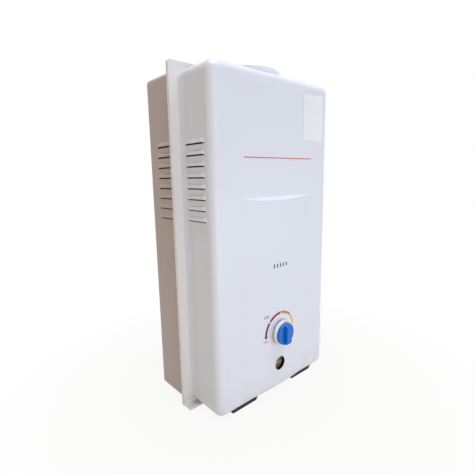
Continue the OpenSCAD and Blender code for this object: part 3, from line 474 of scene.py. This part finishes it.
def wire_spring(name, node, body, axis, turns):
    """Round wire spring in a solid spring's place, carried by the body of its joint."""
    low, high = (Vector(corner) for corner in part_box(node))
    along = Vector(axis)
    middle = (low + high) / 2
    length = (high - low).dot(along)
    coil_r = (high - low).x / 2 - WIRE_R
    start = middle - along * (length / 2 - WIRE_R)
    outline = []
    for step in range(12):
        turn = math.tau * step / 12
        outward = Vector((coil_r + WIRE_R * math.cos(turn), 0, 0))
        outline.append(start + outward + along * WIRE_R * math.sin(turn))
    bm = wound(outline, middle, axis, (length - 2 * WIRE_R) / turns, turns)
    for face in bm.faces:
        face.smooth = len(face.verts) == 4
    spring = piece_from(name, bm, finishes["zinc_steel"], body)
    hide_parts(node)
    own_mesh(spring)


wire_spring("knob_wire_spring", "knob_spring", "plug", (0, 1, 0), 4)
wire_spring("valve_wire_spring", "gas_valve_spring", "casing", (0, 0, 1), 3)
for thread, x in (("cold_socket_thread", 0.060), ("gas_socket_thread", 0.0), ("hot_socket_thread", -0.060)):
    socket_thread(thread, x, 0.0555, 0.0036)


# Slotted head of the flow adjuster


NEAR = 1e-6


def cut_across(bm, place, normal):
    everything = bm.verts[:] + bm.edges[:] + bm.faces[:]
    bmesh.ops.bisect_plane(bm, geom=everything, dist=1e-7, plane_co=place, plane_no=normal)


def slotted_screw(bm, front, head_r, head_t, stem_r, length, slot_h, slot_d):
    """Screw along Y from the middle of its front: a head with a level slot across it, and a plain stem."""
    x, y, z = front
    floor_y, back_y = y + slot_d, y + head_t
    upright = Matrix.Translation((x, y + head_t / 2, z)) @ Matrix.Rotation(math.pi / 2, 4, "X")
    bmesh.ops.create_cone(bm, cap_ends=True, cap_tris=False, segments=80, radius1=head_r, radius2=head_r,
                          depth=head_t, matrix=upright)
    for side in (-1, 1):
        cut_across(bm, (x, y, z + side * slot_h / 2), (0, 0, 1))
    cut_across(bm, (x, floor_y, z), (0, 1, 0))
    middles = {face: face.calc_center_median() for face in bm.faces}
    slot = [face for face, middle in middles.items()
            if abs(middle.z - z) < slot_h / 2 and middle.y < floor_y - NEAR]
    back = [face for face, middle in middles.items() if middle.y > back_y - NEAR]
    bmesh.ops.delete(bm, geom=slot, context="FACES")
    back = bmesh.ops.dissolve_faces(bm, faces=back, use_verts=False)["region"]
    rim = [edge for edge in bm.edges if edge.is_boundary]
    for side in (-1, 1):
        ends = [vert for vert in bm.verts
                if abs(vert.co.y - floor_y) < NEAR and abs(vert.co.z - z - side * slot_h / 2) < NEAR]
        rim.append(bm.edges.new(ends))
    for face in bmesh.ops.edgenet_fill(bm, edges=rim)["faces"]:
        face.material_index = 1
    bmesh.ops.inset_region(bm, faces=back, thickness=head_r - stem_r, use_even_offset=True)
    stem = bmesh.ops.extrude_face_region(bm, geom=back)["geom"]
    bmesh.ops.delete(bm, geom=back, context="FACES_ONLY")
    bmesh.ops.translate(bm, verts=[item for item in stem if isinstance(item, bmesh.types.BMVert)],
                        vec=(0, length - head_t, 0))
    bmesh.ops.recalc_face_normals(bm, faces=bm.faces)


low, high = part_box("flow_adjuster")
bm = bmesh.new()
slotted_screw(bm, (0.0, low[1], (low[2] + high[2]) / 2), head_r=(high[0] - low[0]) / 2, head_t=0.003,
              stem_r=0.006, length=high[1] - low[1], slot_h=0.0024, slot_d=0.0015)
# Two copies of the brass for the adjuster: the head's is darker, painted shade for the dimness inside the
# access hole; the slot's walls take a pale, nearly matt one, a painted highlight standing in for the glint
# along the slot.
brass_painted_shade = cast_brass("brass_painted_shade", srgb(132, 122, 116), srgb(84, 75, 70))
brass_painted_glint = cast_brass("brass_painted_glint", srgb(236, 218, 206), srgb(196, 178, 166), metallic=0.2)
adjuster_screw = piece_from("adjuster_screw", bm, brass_painted_shade, "adjuster")
adjuster_screw.data.materials.append(brass_painted_glint)
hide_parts("flow_adjuster")


# Screws under the cover


def add_pan_screw(bm, place, head_r, head_t, shank_r, length):
    """Adds a screw that points up, with a domed head below its place and a cross recess in the head."""
    x, y, z = place
    flat_r, depth = 0.68 * head_r, 0.6 * head_t
    profile = [(0.0, length), (0.7 * shank_r, length), (shank_r, length - 0.3 * shank_r), (shank_r, 0.0),
               (head_r, 0.0), (head_r, -0.35 * head_t), (0.94 * head_r, -0.68 * head_t),
               (0.84 * head_r, -0.88 * head_t), (flat_r, -head_t)]
    verts = [bm.verts.new((x + r, y, z + h)) for r, h in profile]
    edges = [bm.edges.new(pair) for pair in zip(verts, verts[1:])]
    bmesh.ops.spin(bm, geom=verts + edges, cent=place, axis=(0, 0, 1), dvec=(0, 0, 0), angle=math.tau,
                   steps=32, use_merge=True, use_duplicate=False)
    bmesh.ops.remove_doubles(bm, verts=bm.verts, dist=1e-6)
    rim = [edge for edge in bm.edges if edge.is_boundary]
    arm, half = 0.86 * flat_r, 0.26 * flat_r
    quarter = [(half, half), (half, arm), (-half, arm)]
    turns = [Matrix.Rotation(turn * math.pi / 2, 2) for turn in range(4)]
    outline = [turn @ Vector(point) for turn in turns for point in quarter]
    top = [bm.verts.new((x + point.x, y + point.y, z - head_t)) for point in outline]
    low = [bm.verts.new((x + 0.6 * point.x, y + 0.6 * point.y, z - head_t + depth)) for point in outline]
    ring = [bm.edges.new((top[i - 1], top[i])) for i in range(len(top))]
    bmesh.ops.triangle_fill(bm, use_beauty=True, use_dissolve=False, edges=rim + ring)
    for i in range(len(top)):
        bm.faces.new((top[i - 1], top[i], low[i], low[i - 1]))
    bm.faces.new(low)
    bmesh.ops.recalc_face_normals(bm, faces=bm.faces)


bm = bmesh.new()
for x in (-0.100, 0.100):
    add_pan_screw(bm, (x, 0.00075, COVER_Z), head_r=0.0036, head_t=0.002, shank_r=0.002, length=0.0047)
for face in bm.faces:
    face.smooth = True
for edge in bm.edges:
    edge.smooth = edge.calc_face_angle(0.0) < 0.7
pan_screws = piece_from("pan_screws", bm, finishes["zinc_steel"])
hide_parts("cover_screws")


# Floor, backdrop, light and camera


def plain_sight(paint):
    """Rays that show the background itself: from the camera, off gloss and through glass."""
    seen, mirrored, clear = (paint.add("ShaderNodeLightPath", out=index) for index in (0, 3, 6))
    return seen.larger(mirrored).larger(clear)


bm = bmesh.new()
bmesh.ops.create_circle(bm, cap_ends=True, segments=96, radius=8.0)
bmesh.ops.translate(bm, verts=bm.verts, vec=(0, 0, -0.0002))
mesh = bpy.data.meshes.new("floor")
bm.to_mesh(mesh)
bm.free()
floor = bpy.data.objects.new("floor", mesh)
bpy.context.scene.collection.objects.link(floor)

floor_material = bpy.data.materials.new("pale_floor")
floor_material.use_nodes = True
floor_paint = Paint(floor_material.node_tree)
floor_paint.tree.nodes.remove(floor_paint.tree.nodes["Principled BSDF"])
place = floor_paint.object_place()
reach = floor_paint.add("ShaderNodeVectorMath", {"operation": "LENGTH"}, {0: place}, out=1)
far = floor_paint.ramp(reach, 0.15, 0.6)
pale = floor_paint.add("ShaderNodeBsdfDiffuse", {}, {"Color": (0.50, 0.42, 0.34, 1.0)})
glow = floor_paint.add("ShaderNodeEmission", {}, {"Color": (1.0, 1.0, 1.0, 1.0), "Strength": 1.0})
share = plain_sight(floor_paint) * (0.92 + 0.08 * far)
surface = floor_paint.add("ShaderNodeMixShader", {}, {0: share, 1: pale, 2: glow})
floor_paint.link(surface, floor_paint.tree.nodes["Material Output"].inputs["Surface"])
mesh.materials.append(floor_material)

world = bpy.data.worlds.new("studio")
bpy.context.scene.world = world
world.use_nodes = True
world_paint = Paint(world.node_tree)
world_paint.tree.nodes.remove(world_paint.tree.nodes["Background"])
room = world_paint.add("ShaderNodeBackground", {}, {"Color": (0.94, 0.97, 1.0, 1.0), "Strength": 0.26})
white = world_paint.add("ShaderNodeBackground", {}, {"Color": (1.0, 1.0, 1.0, 1.0), "Strength": 1.0})
sky = world_paint.add("ShaderNodeMixShader", {}, {0: plain_sight(world_paint), 1: room, 2: white})
world_paint.link(sky, world_paint.tree.nodes["World Output"].inputs["Surface"])


def soft_lamp(name, place, target, size, power, colour, mirrored=False):
    """Square area lamp aimed at a place; only a mirrored one shows in gloss."""
    data = bpy.data.lights.new(name, "AREA")
    data.shape = "SQUARE"
    data.size = size
    data.energy = power
    data.color = colour
    lamp = bpy.data.objects.new(name, data)
    lamp.location = place
    lamp.rotation_euler = (Vector(target) - Vector(place)).to_track_quat("-Z", "Y").to_euler()
    lamp.visible_glossy = mirrored
    bpy.context.scene.collection.objects.link(lamp)
    return lamp


MIDDLE = (0.0, 0.0, 0.32)
soft_lamp("key_lamp", (0.55, -0.95, 0.06), (0.0, 0.0, 0.16), 0.6, 4.2, (0.88, 0.94, 1.0))
soft_lamp("front_lamp", (-0.36, -0.95, 0.06), (0.0, 0.0, 0.16), 0.6, 4.9, (0.88, 0.94, 1.0))
soft_lamp("left_lamp", (-1.90, -0.20, 0.60), MIDDLE, 1.2, 6.2, (1.0, 0.80, 0.56))
soft_lamp("top_lamp", (0.10, -0.45, 2.20), MIDDLE, 1.4, 31.0, (0.92, 0.96, 1.0), mirrored=True)
soft_lamp("back_lamp", (0.70, 1.90, 0.90), MIDDLE, 1.2, 9.0, (1.0, 1.0, 1.0))
# A tall strip seen only in gloss draws the highlight along the cover's edge and the bow panel
strip = soft_lamp("strip_lamp", (-0.20, -0.70, 0.45), (-0.15, -0.07, 0.40), 0.10, 0.6, (0.94, 0.97, 1.0),
                  mirrored=True)
strip.data.shape = "RECTANGLE"
strip.data.size_y = 0.9
strip.visible_diffuse = False
strip.visible_camera = False

CAMERA_PLACE = (-0.48685, -0.51316, 0.43723)
YAW, PITCH, ROLL = 0.719, -0.174, -0.018
FOCAL_PX, FRAME_PX, SENSOR_MM = 346.923, 474.0, 36.0
forward = Vector((math.sin(YAW) * math.cos(PITCH), math.cos(YAW) * math.cos(PITCH), math.sin(PITCH)))
level = Vector((math.cos(YAW), -math.sin(YAW), 0.0))
upright = level.cross(forward)
right = math.cos(ROLL) * level + math.sin(ROLL) * upright
up = -math.sin(ROLL) * level + math.cos(ROLL) * upright
camera_data = bpy.data.cameras.new("camera")
camera_data.sensor_width = SENSOR_MM
camera_data.lens = FOCAL_PX / FRAME_PX * SENSOR_MM
camera_data.clip_start = 0.01
camera = bpy.data.objects.new("camera", camera_data)
turned = Matrix((right, up, -forward)).transposed().to_4x4()
camera.matrix_world = Matrix.Translation(CAMERA_PLACE) @ turned
bpy.context.scene.collection.objects.link(camera)
bpy.context.scene.camera = camera
bpy.context.scene.view_settings.view_transform = "Standard"
